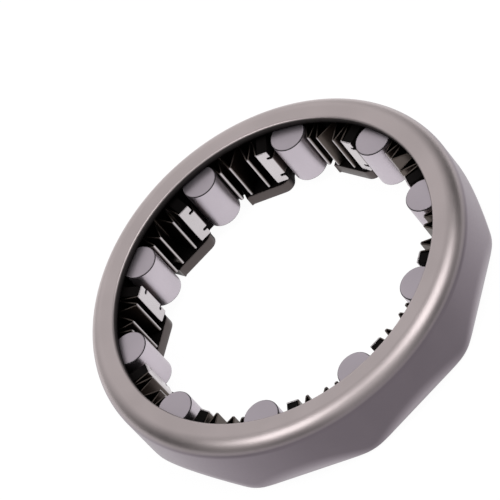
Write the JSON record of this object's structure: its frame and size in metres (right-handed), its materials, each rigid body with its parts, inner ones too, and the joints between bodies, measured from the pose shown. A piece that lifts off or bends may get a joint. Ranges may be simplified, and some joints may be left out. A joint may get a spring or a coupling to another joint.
{
  "type": "starter clutch",
  "caption": "Roller one-way clutch ring: ten-sided steel cup with ramps, notched cage, sprung rollers and accordion leaf springs.",
  "frame": {"origin": "on the clutch axis, in the plane of the ten-sided end face", "axes": "+Z along the axis from the ten-sided end towards the lip; +X through the middle of a flat"},
  "size_m": [0.06, 0.06, 0.0114],
  "materials": {
    "cup_steel": "satin, tumbled, case-hardened steel",
    "cage_steel": "satin steel, darker in its cut faces",
    "roller_steel": "fine-ground bearing steel",
    "spring_steel": "bright rolled spring strip"
  },
  "bodies": {
    "housing": {"outer_cup": "cup_steel", "cage": "cage_steel", "spring_1": "spring_steel", "spring_2": "spring_steel", "spring_3": "spring_steel", "spring_4": "spring_steel", "spring_5": "spring_steel", "spring_6": "spring_steel", "spring_7": "spring_steel", "spring_8": "spring_steel", "spring_9": "spring_steel", "spring_10": "spring_steel"},
    "roller_1": {"roller_1": "roller_steel"},
    "roller_2": {"roller_2": "roller_steel"},
    "roller_3": {"roller_3": "roller_steel"},
    "roller_4": {"roller_4": "roller_steel"},
    "roller_5": {"roller_5": "roller_steel"},
    "roller_6": {"roller_6": "roller_steel"},
    "roller_7": {"roller_7": "roller_steel"},
    "roller_8": {"roller_8": "roller_steel"},
    "roller_9": {"roller_9": "roller_steel"},
    "roller_10": {"roller_10": "roller_steel"}
  },
  "joints": [
    {"name": "roller_1_slide", "type": "slide", "parent": "housing", "child": "roller_1", "axis": [0, -1, 0], "range_m": [0, 0.0014], "stiffness_N_per_m": 1500, "springref_m": -0.0015, "deforming": ["spring_10"]},
    {"name": "roller_2_slide", "type": "slide", "parent": "housing", "child": "roller_2", "axis": [0.5878, -0.809, 0], "range_m": [0, 0.0014], "stiffness_N_per_m": 1500, "springref_m": -0.0015, "deforming": ["spring_1"]},
    {"name": "roller_3_slide", "type": "slide", "parent": "housing", "child": "roller_3", "axis": [0.9511, -0.309, 0], "range_m": [0, 0.0014], "stiffness_N_per_m": 1500, "springref_m": -0.0015, "deforming": ["spring_2"]},
    {"name": "roller_4_slide", "type": "slide", "parent": "housing", "child": "roller_4", "axis": [0.9511, 0.309, 0], "range_m": [0, 0.0014], "stiffness_N_per_m": 1500, "springref_m": -0.0015, "deforming": ["spring_3"]},
    {"name": "roller_5_slide", "type": "slide", "parent": "housing", "child": "roller_5", "axis": [0.5878, 0.809, 0], "range_m": [0, 0.0014], "stiffness_N_per_m": 1500, "springref_m": -0.0015, "deforming": ["spring_4"]},
    {"name": "roller_6_slide", "type": "slide", "parent": "housing", "child": "roller_6", "axis": [0, 1, 0], "range_m": [0, 0.0014], "stiffness_N_per_m": 1500, "springref_m": -0.0015, "deforming": ["spring_5"]},
    {"name": "roller_7_slide", "type": "slide", "parent": "housing", "child": "roller_7", "axis": [-0.5878, 0.809, 0], "range_m": [0, 0.0014], "stiffness_N_per_m": 1500, "springref_m": -0.0015, "deforming": ["spring_6"]},
    {"name": "roller_8_slide", "type": "slide", "parent": "housing", "child": "roller_8", "axis": [-0.9511, 0.309, 0], "range_m": [0, 0.0014], "stiffness_N_per_m": 1500, "springref_m": -0.0015, "deforming": ["spring_7"]},
    {"name": "roller_9_slide", "type": "slide", "parent": "housing", "child": "roller_9", "axis": [-0.9511, -0.309, 0], "range_m": [0, 0.0014], "stiffness_N_per_m": 1500, "springref_m": -0.0015, "deforming": ["spring_8"]},
    {"name": "roller_10_slide", "type": "slide", "parent": "housing", "child": "roller_10", "axis": [-0.5878, -0.809, 0], "range_m": [0, 0.0014], "stiffness_N_per_m": 1500, "springref_m": -0.0015, "deforming": ["spring_9"]}
  ]
}
